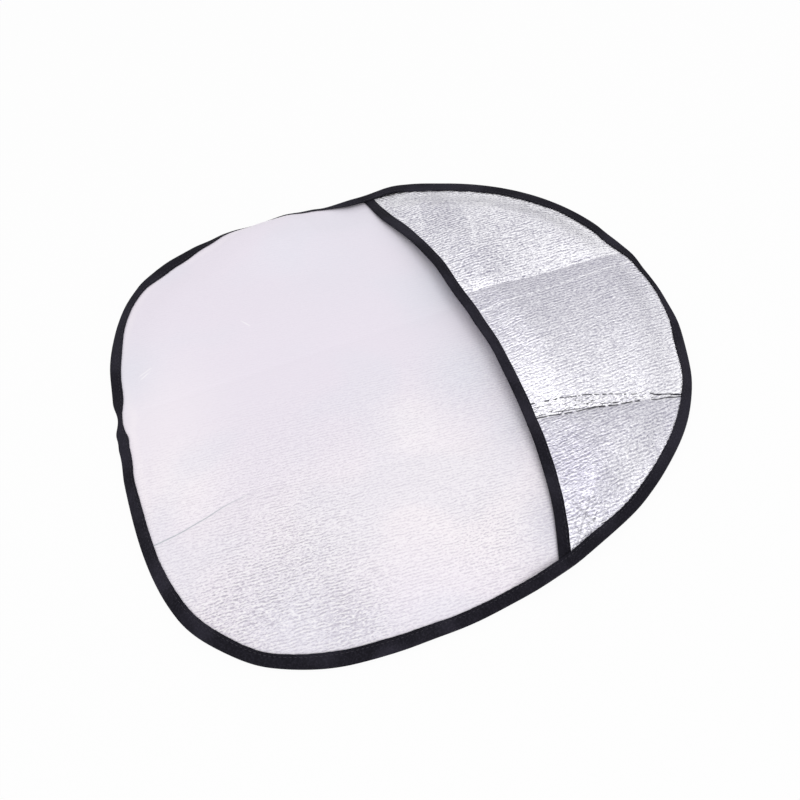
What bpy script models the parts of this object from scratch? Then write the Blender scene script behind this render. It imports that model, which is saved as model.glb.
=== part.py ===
# Steering wheel sunshade, lying flat with its pocket uppermost.
#
# Two sheets of thin foam, faced with foil and pearly film, are sewn together round the edge.
# The main panel is the full size of the shade. The pocket panel covers its round end only and
# hooks over the top of the wheel. Black folded tape binds the pocket's mouth and the whole edge.
#
# Frame: metres, +Z up, +Y towards the round end, origin on the floor below the shade's middle.

import math

import bmesh
import bpy
from mathutils import Vector

# Outline, seen from above
SHADE_LENGTH = 0.480
SHADE_WIDTH = 0.406
FLAT_END_REACH = 0.214       # from the widest line to the flat end
ROUND_END_FULLNESS = 2.24    # 2 is an ellipse, more is squarer
FLAT_END_FULLNESS = 3.13

# Foam sheet and tape
FOAM_THICKNESS = 0.0035
SEAM_THICKNESS = 0.0012      # the foam pressed flat by its stitches
SWELL_RUN = 0.014            # from the pressed seam to the full thickness
TAPE_THICKNESS = 0.0005
TAPE_SHOWING = 0.010         # width of the folded tape on each face
FOLD_DEPTH = 0.00125         # how far the tape's fold bows out past the sheet
SEW_GAP = 0.0004             # between sewn faces
SHEET_END_GAP = 0.0001       # from the fold's start to the sheet's cut edge

# Pocket
POCKET_LENGTH = 0.1775       # from the round end to the middle of the mouth
MOUTH_SAG_FAR = 0.0365       # how far the mouth's ends lie behind its middle, at -X and at +X
MOUTH_SAG_NEAR = 0.0305
MOUTH_SAG_HALF_WIDTH = 0.188
MOUTH_SAG_POWER = 2.4
MOUTH_LIFT = 0.012           # height of the open mouth above the main panel
MOUTH_LIFT_SKEW = 0.25       # the far side stands a little higher than the near one
LIFT_REACH = 0.095           # how far into the pocket the lift carries
DOME_RUN = 0.150             # how far in from the sewn edge the lift grows
POCKET_TIP_WIDTH = 0.004     # the pocket's blunt tips, under the edge tape
MOUTH_TAPE_TUCK = 0.003      # how near the mouth tape comes to the outer edge

# The edge tape climbs over the ends of the mouth tape
CLIMB_MARGIN = 0.010
CLIMB_RUN = 0.028

# Packing folds, which run from the flat end to the round end, and the swells between them
FAR_FOLD_FLAT_END = -0.042
FAR_FOLD_ROUND_END = -0.031
NEAR_FOLD_FLAT_END = 0.069
NEAR_FOLD_ROUND_END = 0.125
NEAR_FOLD_BEND_POWER = 2.2
FAR_SWELL = 0.0030
NEAR_SWELL = 0.0025
SWELL_FADE_RUN = 0.040       # from the edge tape to where a swell is full
POCKET_SWELL = 0.0035
POCKET_SWELL_RUN = 0.050     # from the mouth to where the pocket's swells are full

# Stretches of the edge that have rolled down: turn from the mouth's far corner to the middle,
# half length, lean, tape showing
EDGE_BAND = 0.020            # width of the strip that bends
ROLLED_STRETCHES = (
    (math.radians(24.64), math.radians(24), math.radians(52), 0.003),
    (math.radians(66.64), math.radians(24), math.radians(15), 0.010),
)
ROLL_HUMP_REACH = 0.070      # how far in the sheet is held up by a rolled edge

# Places where the edge was sewn a little in or out: middle, half length, how far out
OUTLINE_WAVERS = (
    (math.radians(150), math.radians(9), 0.0015),
    (math.radians(169), math.radians(16), -0.0056),
    (math.radians(216), math.radians(18), 0.0050),
    (math.radians(253), math.radians(14), -0.0026),
    (math.radians(322), math.radians(16), -0.0022),
    (math.radians(355), math.radians(20), 0.0020),
)

# Mesh density
RINGS = 15                   # square rings of quads in the main panel
STATIONS = 8 * RINGS         # points round each ring
EDGE_RINGS = 3               # rings of the main panel that lie in the edge band
POCKET_ROWS = 6              # rows across the pocket between its two edge bands
POCKET_STATIONS = 48
MOUTH_STATIONS = 44
FOLD_STEPS = 4               # flat facets round a tape's fold

NARROW_ROW_MARGIN = 1 / 3    # most of a short row across the pocket that either margin takes
SHARP_FROM = math.radians(40)
FLAT_TOLERANCE = 1e-9
WELD_DISTANCE = 1e-6
SOLVE_STEPS = 50

HALF_WIDTH = SHADE_WIDTH / 2
ROUND_END_REACH = SHADE_LENGTH - FLAT_END_REACH
WIDEST_Y = FLAT_END_REACH - SHADE_LENGTH / 2
MOUTH_Y = SHADE_LENGTH / 2 - POCKET_LENGTH
SHEET_SETBACK = TAPE_THICKNESS / 2 + FOLD_DEPTH + SHEET_END_GAP
TAPE_STEP = TAPE_THICKNESS + SEW_GAP
SHEET_STEP = SEAM_THICKNESS + SEW_GAP
SEAM_WIDTH = TAPE_SHOWING + SEW_GAP
POCKET_CLOSE_ROWS = (SHEET_SETBACK, SEAM_WIDTH, SEAM_WIDTH + SWELL_RUN / 2, SEAM_WIDTH + SWELL_RUN)


def smooth(value):
    """Rise from 0 to 1 with level ends."""
    value = min(1.0, max(0.0, value))
    return value * value * (3 - 2 * value)


def window(angle, middle, half_length):
    """1 at the middle of a stretch of the edge, falling smoothly to 0 at its ends."""
    offset = (angle - middle + math.pi) % (2 * math.pi) - math.pi
    if abs(offset) >= half_length:
        return 0.0
    return 0.5 + 0.5 * math.cos(math.pi * offset / half_length)


def solve(function, low, high):
    """The place between low and high where a falling function reaches zero."""
    for _ in range(SOLVE_STEPS):
        middle = (low + high) / 2
        if function(middle) > 0:
            low = middle
        else:
            high = middle
    return (low + high) / 2


# Outline

def outline(angle):
    """Outermost point of the edge tape at an angle, and its outward direction.

    Angles are taken about the middle of the widest line, from +X towards +Y.
    """
    across, along = math.cos(angle), math.sin(angle)
    round_end = along >= 0
    fullness = ROUND_END_FULLNESS if round_end else FLAT_END_FULLNESS
    reach_along = ROUND_END_REACH if round_end else FLAT_END_REACH
    share_across, share_along = abs(across) / HALF_WIDTH, abs(along) / reach_along
    reach = (share_across**fullness + share_along**fullness) ** (-1 / fullness)
    slope_across = (reach * share_across) ** (fullness - 1) / HALF_WIDTH
    slope_along = (reach * share_along) ** (fullness - 1) / reach_along
    outward = Vector((math.copysign(slope_across, across), math.copysign(slope_along, along)))
    outward.normalize()
    waver = sum(out * window(angle, middle, half) for middle, half, out in OUTLINE_WAVERS)
    point = Vector((reach * across, WIDEST_Y + reach * along)) + outward * waver
    return point, outward


def tape_showing(angle):
    """Width of the edge tape on each face."""
    width = TAPE_SHOWING
    for turn, half, _, narrowest in ROLLED_STRETCHES:
        width += (narrowest - TAPE_SHOWING) * window(angle, FAR_CORNER + turn, half)
    return width


def lean(angle):
    """How steeply the sewn edge leans down and outwards."""
    return sum(
        steepest * window(angle, FAR_CORNER + turn, half) for turn, half, steepest, _ in ROLLED_STRETCHES
    )


def edge_profile(angle, inward):
    """Inset, fall and slope of the sheet at a distance along it from the edge.

    The sheet is straight under the tape and bends from there to the inner side of the edge band.
    """
    steepest = lean(angle)
    straight = tape_showing(angle) + SEW_GAP
    bend = EDGE_BAND - straight
    if inward < straight:
        slope = steepest
    else:
        slope = steepest * (EDGE_BAND - inward) / bend
    if slope < FLAT_TOLERANCE:
        return inward, 0.0, 0.0
    radius = bend / steepest
    run, fall = radius * math.sin(slope), radius * (1 - math.cos(slope))
    if inward < straight:
        run += (straight - inward) * math.cos(steepest)
        fall += (straight - inward) * math.sin(steepest)
    return EDGE_BAND - run, fall, slope


def roll_height(angle):
    """Height that a rolled edge needs so that its tape just rests on the floor."""
    return edge_profile(angle, 0.0)[1]


# Heights of the layers

def fold_lines(y):
    """Where the two packing folds cross a line across the shade."""
    share = (y + SHADE_LENGTH / 2) / SHADE_LENGTH
    share = min(1.0, max(0.0, share))
    far = FAR_FOLD_FLAT_END + (FAR_FOLD_ROUND_END - FAR_FOLD_FLAT_END) * share
    near = NEAR_FOLD_FLAT_END + (NEAR_FOLD_ROUND_END - NEAR_FOLD_FLAT_END) * share**NEAR_FOLD_BEND_POWER
    return far, near


def seam_distance(x, y):
    """Distance in from the shade's outermost edge."""
    offset = Vector((x, y - WIDEST_Y))
    edge, outward = outline(math.atan2(offset.y, offset.x))
    return (edge - Vector((x, y))).dot(outward)


def half_width_at(y):
    """Half the shade's width on a line across it."""
    along = y - WIDEST_Y
    round_end = along >= 0
    fullness = ROUND_END_FULLNESS if round_end else FLAT_END_FULLNESS
    share = min(1.0, abs(along) / (ROUND_END_REACH if round_end else FLAT_END_REACH))
    return HALF_WIDTH * (1 - share**fullness) ** (1 / fullness)


def swell_between(x, start, end):
    """An arch across the stretch between two lines, 1 at its middle."""
    if abs(end - start) < FLAT_TOLERANCE:
        return 0.0
    share = (x - start) / (end - start)
    return max(0.0, 4 * share * (1 - share))


def seam_fade(inward):
    """0 under the tape, 1 once clear of the sewn edge."""
    return smooth((inward - TAPE_SHOWING) / SWELL_FADE_RUN)


def panel_rise(x, y, inward):
    """Height of the main panel's underside above the floor. The strip between the folds lies flat."""
    far, near = fold_lines(y)
    side = half_width_at(y)
    rise = FAR_SWELL * swell_between(x, far, -side) + NEAR_SWELL * swell_between(x, near, side)
    return rise * seam_fade(inward)


def foam_swell(distance):
    """0 where the sheet is pressed under a tape, 1 at its full thickness."""
    return smooth((distance - SEAM_WIDTH) / SWELL_RUN)


def panel_faces(inward):
    """Heights of the main panel's lower and upper face above its rise."""
    swell = foam_swell(inward)
    lower = TAPE_STEP * (1 - swell)
    upper = (TAPE_STEP + SEAM_THICKNESS) * (1 - swell) + FOAM_THICKNESS * swell
    return lower, upper


def mouth_line(x):
    """Front fold of the mouth tape: its place along the shade, and its direction into the pocket."""
    share = abs(x) / MOUTH_SAG_HALF_WIDTH
    sag = MOUTH_SAG_NEAR if x > 0 else MOUTH_SAG_FAR
    y = MOUTH_Y - sag * share**MOUTH_SAG_POWER
    slope = -math.copysign(sag * MOUTH_SAG_POWER / MOUTH_SAG_HALF_WIDTH, x)
    slope *= share ** (MOUTH_SAG_POWER - 1)
    return y, Vector((-slope, 1.0)).normalized()


def mouth_distance(x, y):
    """Distance into the pocket from the front fold of the mouth tape."""
    line_y, into = mouth_line(x)
    return (y - line_y) * into.y


def far_corner():
    """Angle at which the mouth's front fold meets the far edge."""

    def depth_at_edge(angle):
        return mouth_distance(*outline(angle)[0])

    return solve(depth_at_edge, math.pi / 2, 3 * math.pi / 2)


FAR_CORNER = far_corner()


def pocket_rise(x, y, inward):
    """Height of the pocket's lower face above the main panel's upper face."""
    depth = max(0.0, mouth_distance(x, y))
    room_for_tape = TAPE_STEP * (1 - smooth((depth - SEAM_WIDTH) / EDGE_BAND))
    dome = smooth((inward - TAPE_SHOWING) / DOME_RUN)
    lift = MOUTH_LIFT * (1 - MOUTH_LIFT_SKEW * x / HALF_WIDTH) * dome / (1 + (depth / LIFT_REACH) ** 2)
    far, near = fold_lines(y)
    side = half_width_at(y)
    swell = swell_between(x, far, -side) + swell_between(x, far, near) + swell_between(x, near, side)
    swell *= POCKET_SWELL * seam_fade(inward) * smooth(depth / POCKET_SWELL_RUN)
    return SEW_GAP + room_for_tape + lift + swell


def pocket_faces(x, y):
    """Heights of the pocket's lower and upper face above the floor."""
    inward = seam_distance(x, y)
    lower = panel_rise(x, y, inward) + panel_faces(inward)[1] + pocket_rise(x, y, inward)
    swell = foam_swell(inward) * foam_swell(mouth_distance(x, y))
    return lower, lower + SEAM_THICKNESS + (FOAM_THICKNESS - SEAM_THICKNESS) * swell


def sewn_height(angle):
    """Height of everything that the edge tape wraps at an angle."""
    edge, outward = outline(angle)
    depth = mouth_distance(*(edge - outward * TAPE_SHOWING / 2))
    one_sheet = TAPE_STEP + SEAM_THICKNESS
    two_sheets = one_sheet + SHEET_STEP
    with_mouth_tape = two_sheets + 2 * TAPE_STEP
    climb = smooth((depth + CLIMB_MARGIN + CLIMB_RUN) / CLIMB_RUN)
    drop = smooth((depth - TAPE_SHOWING - CLIMB_MARGIN) / CLIMB_RUN)
    return one_sheet + (with_mouth_tape - one_sheet) * climb - (with_mouth_tape - two_sheets) * drop


# Places on the sheets

def edge_band_point(angle, inward, height):
    """Point in the edge band, at a height above the sheet's lowest face and square to the sheet."""
    edge, outward = outline(angle)
    inset, fall, slope = edge_profile(angle, inward)
    plan = edge - outward * (inset - height * math.sin(slope))
    return Vector((plan.x, plan.y, roll_height(angle) - fall + height * math.cos(slope)))


def ring_place(column, row):
    """Angle of a point of the square grid, spaced evenly round its ring, and the ring's number."""
    ring = max(abs(column), abs(row))
    if ring == 0:
        return 0.0, 0
    if abs(column) >= abs(row):
        angle = math.pi / 4 * row / column
        if column < 0:
            angle += math.pi
    else:
        angle = math.pi / 2 - math.pi / 4 * column / row
        if row < 0:
            angle += math.pi
    return angle, ring


def panel_point(column, row, upper):
    """Point of the main panel's lower or upper face."""
    angle, ring = ring_place(column, row)
    straight = tape_showing(angle) + SEW_GAP
    edge_rings = (SHEET_SETBACK, straight, (straight + EDGE_BAND) / 2, EDGE_BAND)
    steps_in = RINGS - ring
    if steps_in <= EDGE_RINGS:
        inward = edge_rings[steps_in]
        point = edge_band_point(angle, inward, panel_faces(inward)[upper])
        point.z += panel_rise(point.x, point.y, inward)
        return point
    rim = edge_band_point(angle, EDGE_BAND, 0.0)
    middle = Vector((0.0, WIDEST_Y))
    plan = middle + (rim.xy - middle) * ring / (RINGS - EDGE_RINGS)
    inward = seam_distance(*plan)
    hump = 1 - smooth((inward - EDGE_BAND) / ROLL_HUMP_REACH)
    height = panel_rise(*plan, inward) + panel_faces(inward)[upper] + roll_height(angle) * hump
    return Vector((plan.x, plan.y, height))


def mouth_cut_radius(angle):
    """Distance from the widest line's middle to the pocket's cut edge."""
    direction = Vector((math.cos(angle), math.sin(angle)))

    def still_to_go(radius):
        x, y = direction.x * radius, WIDEST_Y + direction.y * radius
        return SHEET_SETBACK - mouth_distance(x, y)

    return solve(still_to_go, 0.0, SHADE_LENGTH)


def pocket_span(angle):
    """Distances from the widest line's middle to the pocket's cut edge and to its sewn edge."""
    edge, _ = outline(angle)
    return mouth_cut_radius(angle), (edge - Vector((0.0, WIDEST_Y))).length


def pocket_tip_turn(side):
    """Turn from the middle of the round end to the pocket's tip. Side is 1 at +X and -1 at -X."""

    def room_left(turn):
        cut, sewn = pocket_span(math.pi / 2 - side * turn)
        return sewn - cut - POCKET_TIP_WIDTH - SHEET_SETBACK

    return solve(room_left, 0.0, math.pi / 2)


def pocket_point(angle, row, rows, upper):
    """Point of the pocket's lower or upper face, at a row from the mouth to the sewn edge."""
    cut, outer = pocket_span(angle)
    sewn = outer - SHEET_SETBACK
    margins = [depth - SHEET_SETBACK for depth in POCKET_CLOSE_ROWS]
    fit = min(1.0, (sewn - cut) * NARROW_ROW_MARGIN / margins[-1])
    last = len(margins) - 1
    if row <= last:
        radius = cut + margins[row] * fit
    elif rows - row <= last:
        radius = sewn - margins[rows - row] * fit
    else:
        margin = margins[-1] * fit
        radius = cut + margin + (sewn - cut - 2 * margin) * (row - last) / (rows - 2 * last)
    x, y = radius * math.cos(angle), WIDEST_Y + radius * math.sin(angle)
    return Vector((x, y, pocket_faces(x, y)[upper]))


def fold_section(showing, top):
    """Half of a tape's section: (distance in from the outermost face, share of the height) points."""
    start = TAPE_THICKNESS / 2 + FOLD_DEPTH
    section = [(showing, 0.0)]
    for step in range(FOLD_STEPS + 1):
        turn = math.pi * step / FOLD_STEPS
        section.append((start - FOLD_DEPTH * math.sin(turn), top * (1 - math.cos(turn)) / 2))
    section.append((showing, top))
    return section


# Solids

def new_object(name, mesh_maker, material):
    """Turn a finished bmesh into a named object in the shade's collection."""
    bmesh.ops.recalc_face_normals(mesh_maker, faces=mesh_maker.faces[:])
    mesh = bpy.data.meshes.new(name)
    mesh_maker.to_mesh(mesh)
    mesh_maker.free()
    mesh.shade_smooth()
    mesh.set_sharp_from_angle(angle=SHARP_FROM)
    mesh.materials.append(material)
    thing = bpy.data.objects.new(name, mesh)
    collection.objects.link(thing)
    return thing


def step_grid(columns, rows):
    """A flat grid whose points lie at whole numbers: x is the column and y the row, from 0."""
    mesh_maker = bmesh.new()
    bmesh.ops.create_grid(mesh_maker, x_segments=columns, y_segments=rows, size=0.5)
    bmesh.ops.translate(mesh_maker, verts=mesh_maker.verts[:], vec=(0.5, 0.5, 0))
    bmesh.ops.scale(mesh_maker, verts=mesh_maker.verts[:], vec=(columns, rows, 1))
    return mesh_maker


def slab(columns, rows, point):
    """A closed slab: a grid and its copy above it, each point then put in its place."""
    mesh_maker = step_grid(columns, rows)
    copied = bmesh.ops.extrude_face_region(mesh_maker, geom=mesh_maker.faces[:])["geom"]
    upper = {item for item in copied if isinstance(item, bmesh.types.BMVert)}
    for vert in mesh_maker.verts:
        vert.co = point(round(vert.co.x), round(vert.co.y), vert in upper)
    return mesh_maker


def folded_tape(name, stations, section_points, point, material):
    """A strip bent round an edge, thickened into tape."""
    mesh_maker = step_grid(stations, section_points - 1)
    for vert in mesh_maker.verts:
        vert.co = point(round(vert.co.x), round(vert.co.y))
    bmesh.ops.remove_doubles(mesh_maker, verts=mesh_maker.verts[:], dist=WELD_DISTANCE)
    tape = new_object(name, mesh_maker, material)
    thick = tape.modifiers.new("tape thickness", "SOLIDIFY")
    thick.thickness = TAPE_THICKNESS
    thick.offset = 0
    thick.use_even_offset = True
    return tape


def make_main_panel(material):
    """Full-size sheet, pearly face up."""
    def point(column, row, upper):
        return panel_point(column - RINGS, row - RINGS, upper)

    return new_object("main_panel", slab(2 * RINGS, 2 * RINGS, point), material)


def make_pocket_panel(material):
    """Crescent over the round end, foil face up."""
    near_turn, far_turn = pocket_tip_turn(1), pocket_tip_turn(-1)
    rows = POCKET_ROWS + 2 * (len(POCKET_CLOSE_ROWS) - 1)

    def point(station, row, upper):
        share = 2 * station / POCKET_STATIONS - 1
        share = (share + math.sin(math.pi / 2 * share)) / 2
        angle = math.pi / 2 + share * (far_turn if share > 0 else near_turn)
        return pocket_point(angle, row, rows, upper)

    return new_object("pocket_panel", slab(POCKET_STATIONS, rows, point), material)


def make_perimeter_binding(material):
    """Tape folded round the whole edge."""
    def point(station, step):
        angle = 2 * math.pi * (station % STATIONS) / STATIONS
        top = sewn_height(angle) + SEW_GAP
        inward, height = fold_section(tape_showing(angle), top)[step]
        return edge_band_point(angle, inward, height + TAPE_THICKNESS / 2)

    return folded_tape("perimeter_binding", STATIONS, FOLD_STEPS + 3, point, material)


def mouth_tape_end(depth, side):
    """How far across the shade a line of the mouth tape runs before it meets the edge seam."""
    def room_left(reach):
        x = side * reach
        y, into = mouth_line(x)
        return seam_distance(x + into.x * depth, y + into.y * depth) - MOUTH_TAPE_TUCK

    return side * solve(room_left, 0.0, HALF_WIDTH)


def make_mouth_binding(material):
    """Tape folded round the pocket's mouth, its ends tucked under the edge tape."""
    section = fold_section(TAPE_SHOWING, 1.0)
    near_ends = [mouth_tape_end(depth, 1) for depth, _ in section]
    far_ends = [mouth_tape_end(depth, -1) for depth, _ in section]

    def point(station, step):
        depth, share = section[step]
        turn = math.sin(math.pi * (station / MOUTH_STATIONS - 0.5))
        x = near_ends[step] * turn if turn > 0 else -far_ends[step] * turn
        y, into = mouth_line(x)
        x, y = x + into.x * depth, y + into.y * depth
        lower, upper = pocket_faces(x, y)
        lower -= SEW_GAP + TAPE_THICKNESS / 2
        upper += SEW_GAP + TAPE_THICKNESS / 2
        return Vector((x, y, lower + (upper - lower) * share))

    return folded_tape("mouth_binding", MOUTH_STATIONS, FOLD_STEPS + 3, point, material)


# Materials

def surface(name, colour, roughness, metallic):
    """A plain Principled material."""
    material = bpy.data.materials.new(name)
    material.use_nodes = True
    shader = material.node_tree.nodes["Principled BSDF"]
    shader.inputs["Base Color"].default_value = (*colour, 1)
    shader.inputs["Roughness"].default_value = roughness
    shader.inputs["Metallic"].default_value = metallic
    return material


def pearly_film():
    return surface("pearly_film", colour=(0.80, 0.77, 0.83), roughness=0.45, metallic=0.0)


def bright_foil():
    return surface("bright_foil", colour=(0.70, 0.70, 0.73), roughness=0.35, metallic=1.0)


def black_tape():
    return surface("black_tape", colour=(0.020, 0.020, 0.024), roughness=0.8, metallic=0.0)


def centre_on_floor(things):
    """Move the shade so that its box stands centred on the origin."""
    bpy.context.view_layer.update()
    depsgraph = bpy.context.evaluated_depsgraph_get()
    corners = [Vector(corner) for thing in things for corner in thing.evaluated_get(depsgraph).bound_box]
    low = Vector([min(corner[axis] for corner in corners) for axis in range(3)])
    high = Vector([max(corner[axis] for corner in corners) for axis in range(3)])
    for thing in things:
        thing.location = (-(low.x + high.x) / 2, -(low.y + high.y) / 2, -low.z)


for old in list(bpy.data.objects):
    bpy.data.objects.remove(old, do_unlink=True)

collection = bpy.data.collections.new("steering_wheel_sunshade")
bpy.context.scene.collection.children.link(collection)

tape_material = black_tape()
pieces = [
    make_main_panel(pearly_film()),
    make_pocket_panel(bright_foil()),
    make_perimeter_binding(tape_material),
    make_mouth_binding(tape_material),
]
centre_on_floor(pieces)
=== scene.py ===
import math

import bmesh
import bpy
import numpy as np
from mathutils import Matrix, Vector, noise


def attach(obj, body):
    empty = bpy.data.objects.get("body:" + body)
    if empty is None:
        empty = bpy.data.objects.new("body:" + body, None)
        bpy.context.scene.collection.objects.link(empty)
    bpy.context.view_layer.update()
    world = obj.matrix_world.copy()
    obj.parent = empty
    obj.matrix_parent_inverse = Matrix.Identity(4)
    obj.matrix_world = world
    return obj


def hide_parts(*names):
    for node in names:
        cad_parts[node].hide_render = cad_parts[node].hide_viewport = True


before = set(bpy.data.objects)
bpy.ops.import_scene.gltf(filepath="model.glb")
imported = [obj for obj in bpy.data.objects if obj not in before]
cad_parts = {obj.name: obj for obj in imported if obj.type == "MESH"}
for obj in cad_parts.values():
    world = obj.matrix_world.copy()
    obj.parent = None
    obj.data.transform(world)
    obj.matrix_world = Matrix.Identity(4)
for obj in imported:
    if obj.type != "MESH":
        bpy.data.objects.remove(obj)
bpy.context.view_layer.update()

# Steering wheel sunshade, lying flat with its pocket uppermost.
# Metres, +Z up, +Y towards the round end. Places in plan are complex numbers, x + yj.


# Camera
#
# It looks down on the shade from beside it, close enough for strong perspective.

CAMERA_AIM = Vector((0.02755, -0.02013, 0.0))
CAMERA_AZIMUTH = math.radians(66.86)
CAMERA_ELEVATION = math.radians(63.09)
CAMERA_DISTANCE = 0.4446
CAMERA_SENSOR = 36.0
CAMERA_LENS = 24.46


def add_object(name, data):
    """Put an object in the scene, at the origin and unturned."""
    added = bpy.data.objects.new(name, data)
    bpy.context.scene.collection.objects.link(added)
    return added


lens = bpy.data.cameras.new("camera")
lens.sensor_width = CAMERA_SENSOR
lens.lens = CAMERA_LENS
lens.clip_start = 0.01
camera = add_object("camera", lens)
backwards = Vector((
    math.sin(CAMERA_AZIMUTH) * math.cos(CAMERA_ELEVATION),
    -math.cos(CAMERA_AZIMUTH) * math.cos(CAMERA_ELEVATION),
    math.sin(CAMERA_ELEVATION),
))
camera.location = CAMERA_AIM + backwards * CAMERA_DISTANCE
camera.rotation_euler = (-backwards).to_track_quat("-Z", "Y").to_euler()
bpy.context.scene.camera = camera


# Main panel
#
# The full-size sheet: thin foam with pearly white film on its upper face and foil on its lower face.
# It is cut to an oval with one flatter end, and has been packed folded lengthwise in three, which
# left two creases. Its far edge has rolled down and holds the sheet up a little there.

SHADE_LENGTH = 0.480
SHADE_WIDTH = 0.406
FLAT_END_REACH = 0.214  # from the widest line to the flat end
ROUND_END_FULLNESS = 2.24
FLAT_END_FULLNESS = 3.13
OUTLINE_WAVERS = (  # middle and half length in degrees, how far out
    (10, 8, 0.0005), (28, 11, -0.0018), (28, 7, 0.0004), (38, 7, -0.0005), (46, 12, -0.0012),
    (72, 8, -0.0013), (82, 5, -0.0006), (95, 4, 0.0013), (102, 4, -0.0009), (150, 9, 0.0015),
    (161, 9, -0.0017), (168, 16, -0.0024), (169, 16, -0.0056), (172, 5, 0.0008), (174, 9, -0.0022),
    (181, 5, -0.0020), (200, 5, 0.0015), (206, 4, -0.0009), (211, 9, -0.0020), (216, 18, 0.0050),
    (216, 9, -0.0018), (220, 5, -0.0010), (230, 5, 0.0006), (240, 8, -0.0012), (253, 14, -0.0026),
    (259, 4.5, -0.0028), (264, 2.5, -0.0009), (268, 6, -0.0013), (311, 9, -0.0018), (322, 16, -0.0022),
    (342, 8, 0.0007), (343, 16, -0.0014), (355, 20, 0.0020),
)
CENTRING = -0.0015812  # slides the shade so that its box is centred, as in the CAD
FOAM_THICKNESS = 0.0035
SEAM_THICKNESS = 0.0012  # of a sheet pressed under a tape
SWELL_RUN = 0.030  # over which the foam regains its thickness
TAPE_THICKNESS = 0.0005
HALF_TAPE = TAPE_THICKNESS / 2
TAPE_SHOWING = 0.0089  # width on each face
FOLD_DEPTH = 0.00125  # how far the tape's fold bows out past the sheet
SHEET_END_GAP = 0.0001
SEW_GAP = 0.0004
SHEET_SETBACK = HALF_TAPE + FOLD_DEPTH + SHEET_END_GAP
TAPE_STEP = TAPE_THICKNESS + SEW_GAP
SEAM_WIDTH = TAPE_SHOWING + SEW_GAP
EDGE_BAND = 0.020  # within which a rolled edge bends down
ROLLED_STRETCHES = (  # middle, half length and lean in degrees, tape showing
    (191, 24, 52, 0.003), (233, 24, 15, 0.009), (195.16, 11, 12, TAPE_SHOWING),
)
ODD_STRETCHES = (  # the same without a lean. The folds pinch the tape at 87 and 259
    (66, 10, 0.0078), (87, 15, 0.0042), (99, 5, 0.0099), (114, 5, 0.0079), (118, 18, 0.0103),
    (138, 20, 0.0107), (149, 8, 0.0106), (174, 8, 0.0055), (217, 11, 0.0115), (221, 6, 0.0100),
    (243, 8, 0.0103), (259, 5, 0.0040), (272, 10, 0.0080), (305, 16, 0.0098), (320, 12, 0.0083),
    (334, 22, 0.0101),
)
LEAST_LEAN = 1e-6  # radians, where the edge lies flat
ROLL_HUMP_REACH = 0.070  # how far in a rolled edge holds the sheet up
FAR_FOLD_PLACE = -0.042  # across the shade, at its flat end
FAR_FOLD_TURN = 0.011  # how much further over it lies at the round end
NEAR_FOLD_PLACE = 0.069
NEAR_FOLD_TURN = 0.061
NEAR_FOLD_BEND_POWER = 2.2
NEAR_FOLD_DIP = (-0.150, 0.045, 0.012)  # middle and half length along the shade, how far across
FAR_SWELL = 0.0030  # how high the outer thirds arch off the floor
NEAR_SWELL = 0.0025
SWELL_FADE_RUN = 0.040
PANEL_CREASE_WIDTH = 0.0018
PANEL_CREASE_DEPTH = 0.00020
NEAR_CREASE_SINK = (-0.12, -0.04, 1.5)  # from where, over what run, share by which it is deeper
CREASE_WANDER = (0.012, 3.0, 0.0006)  # size across, seed, height
PANEL_BUMPS = ((0.055, 1.0, 0.0006), (0.016, 2.0, 0.00012))
RELIEF_RUN = 0.008  # beside a tape, over which the relief grows
WRINKLE_FADE = 0.25  # share of a wrinkle's length over which each end fades
PANEL_WRINKLES = (  # start, end, width, height
    (-0.200 - 0.074j, -0.150 - 0.056j, 0.0060, 0.0006),
    (-0.196 - 0.040j, -0.155 - 0.020j, 0.0050, 0.0004),
    (0.142 - 0.100j, 0.186 - 0.104j, 0.0045, -0.0009),
    (0.070 - 0.050j, 0.074 - 0.004j, 0.0015, -0.0003),
)
FINE_WRINKLES = (  # start and end of short wrinkles whose crests catch the light
    (-0.0722 - 0.2130j, -0.0767 - 0.1969j),
    (-0.0691 - 0.2117j, -0.0732 - 0.2009j),
    (-0.0944 - 0.1191j, -0.0837 - 0.1114j),
)
FINE_WRINKLE_HEIGHT = 0.0003
FINE_WRINKLE_WIDTH = 0.0015
SOLVE_STEPS = 40
PANEL_RINGS = 104
PANEL_EDGE_RINGS = 12  # of them, those that lie in the edge band

HALF_WIDTH = SHADE_WIDTH / 2
ROUND_END_REACH = SHADE_LENGTH - FLAT_END_REACH
WIDEST_Y = FLAT_END_REACH - SHADE_LENGTH / 2
MIDDLE = WIDEST_Y * 1j


def smooth(value):
    """Rise from 0 to 1 with level ends."""
    value = np.clip(value, 0, 1)
    return value * value * (3 - 2 * value)


def rise(value, start, run, amount):
    """0 up to a start, then a smooth rise over a run to an amount. A negative run goes downwards."""
    return amount * smooth((value - start) / run)


def bell(distance, half_width):
    """1 at no distance, falling to 0 over a half width or so to each side."""
    return np.exp(-(distance / half_width) ** 2)


def window(angle, middle, half_length):
    """1 at the middle of a stretch of the edge, given in degrees, falling smoothly to 0 at its ends."""
    offset = (np.degrees(angle) - middle + 180) % 360 - 180
    return np.where(abs(offset) < half_length, 0.5 + 0.5 * np.cos(math.pi * offset / half_length), 0.0)


def solve(function, low, high):
    """Where between low and high a falling function reaches zero."""
    for _ in range(SOLVE_STEPS):
        middle = (low + high) / 2
        positive = function(middle) > 0
        low, high = np.where(positive, middle, low), np.where(positive, high, middle)
    return (low + high) / 2


def dot(first, second):
    """Scalar product of two directions in plan."""
    return (first * np.conj(second)).real


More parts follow.
